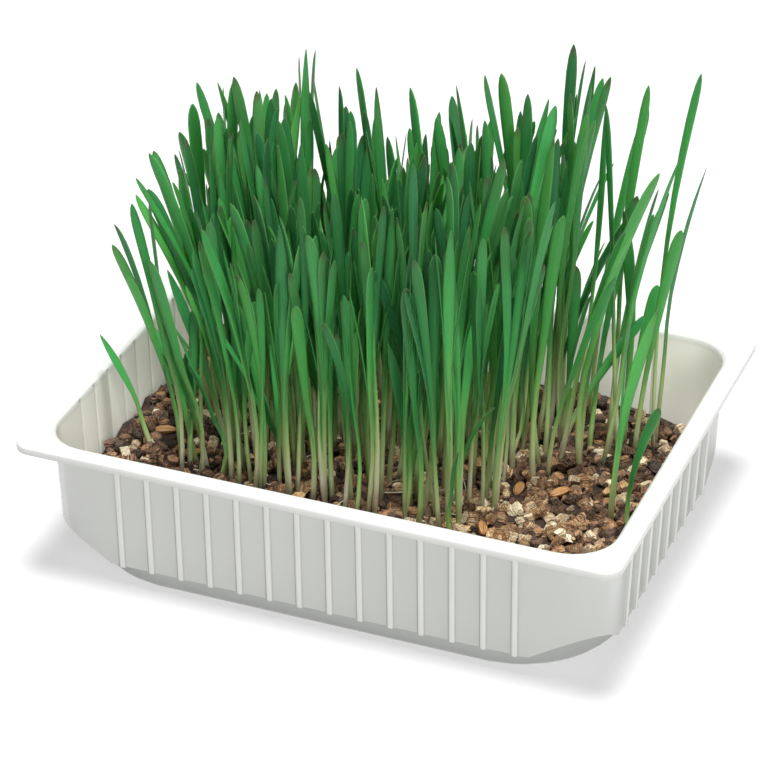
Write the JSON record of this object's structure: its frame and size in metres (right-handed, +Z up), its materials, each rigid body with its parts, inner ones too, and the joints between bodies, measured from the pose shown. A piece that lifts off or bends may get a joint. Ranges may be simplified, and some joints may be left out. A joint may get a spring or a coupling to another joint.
{
  "type": "barley grass tray",
  "caption": "Rimmed rectangular tray with ribbed walls, filled with loose growing bed and a stand of tall barley grass blades in tufts.",
  "frame": {"origin": "middle of the tray's underside, at the bottom centre of the whole part's bounding box", "axes": "+X along the tray's long side, +Y from its front to its back, +Z up"},
  "size_m": [0.23, 0.175, 0.181],
  "materials": {
    "tray_plastic": "white formed sheet, satin gloss",
    "vermiculite": "matt, loose layered mineral crumbs",
    "barley_leaf": "living leaf, satin with fine veins",
    "barley_grain": "dry husk, satin"
  },
  "bodies": {
    "root": {"barley_grain_1": "barley_grain", "barley_grain_2": "barley_grain", "barley_grain_3": "barley_grain", "barley_grain_4": "barley_grain", "barley_grain_5": "barley_grain", "barley_grain_6": "barley_grain", "barley_tuft_01": "barley_leaf", "barley_tuft_02": "barley_leaf", "barley_tuft_03": "barley_leaf", "barley_tuft_04": "barley_leaf", "barley_tuft_05": "barley_leaf", "barley_tuft_06": "barley_leaf", "barley_tuft_07": "barley_leaf", "barley_tuft_08": "barley_leaf", "barley_tuft_09": "barley_leaf", "barley_tuft_10": "barley_leaf", "barley_tuft_11": "barley_leaf", "barley_tuft_12": "barley_leaf", "barley_tuft_13": "barley_leaf", "barley_tuft_14": "barley_leaf", "barley_tuft_15": "barley_leaf", "barley_tuft_16": "barley_leaf", "barley_tuft_17": "barley_leaf", "barley_tuft_18": "barley_leaf", "barley_tuft_19": "barley_leaf", "barley_tuft_20": "barley_leaf", "barley_tuft_21": "barley_leaf", "barley_tuft_22": "barley_leaf", "barley_tuft_23": "barley_leaf", "barley_tuft_24": "barley_leaf", "barley_tuft_25": "barley_leaf", "barley_tuft_26": "barley_leaf", "barley_tuft_27": "barley_leaf", "barley_tuft_28": "barley_leaf", "barley_tuft_29": "barley_leaf", "barley_tuft_30": "barley_leaf", "barley_tuft_31": "barley_leaf", "barley_tuft_32": "barley_leaf", "barley_tuft_33": "barley_leaf", "barley_tuft_34": "barley_leaf", "barley_tuft_35": "barley_leaf", "barley_tuft_36": "barley_leaf", "barley_tuft_37": "barley_leaf", "barley_tuft_38": "barley_leaf", "barley_tuft_39": "barley_leaf", "barley_tuft_40": "barley_leaf", "barley_tuft_41": "barley_leaf", "barley_tuft_42": "barley_leaf", "barley_tuft_43": "barley_leaf", "barley_tuft_44": "barley_leaf", "barley_tuft_45": "barley_leaf", "barley_tuft_46": "barley_leaf", "barley_tuft_47": "barley_leaf", "barley_tuft_48": "barley_leaf", "barley_tuft_49": "barley_leaf", "barley_tuft_50": "barley_leaf", "barley_tuft_51": "barley_leaf", "barley_tuft_52": "barley_leaf", "tray": "tray_plastic", "vermiculite_bed": "vermiculite"}
  },
  "joints": []
}
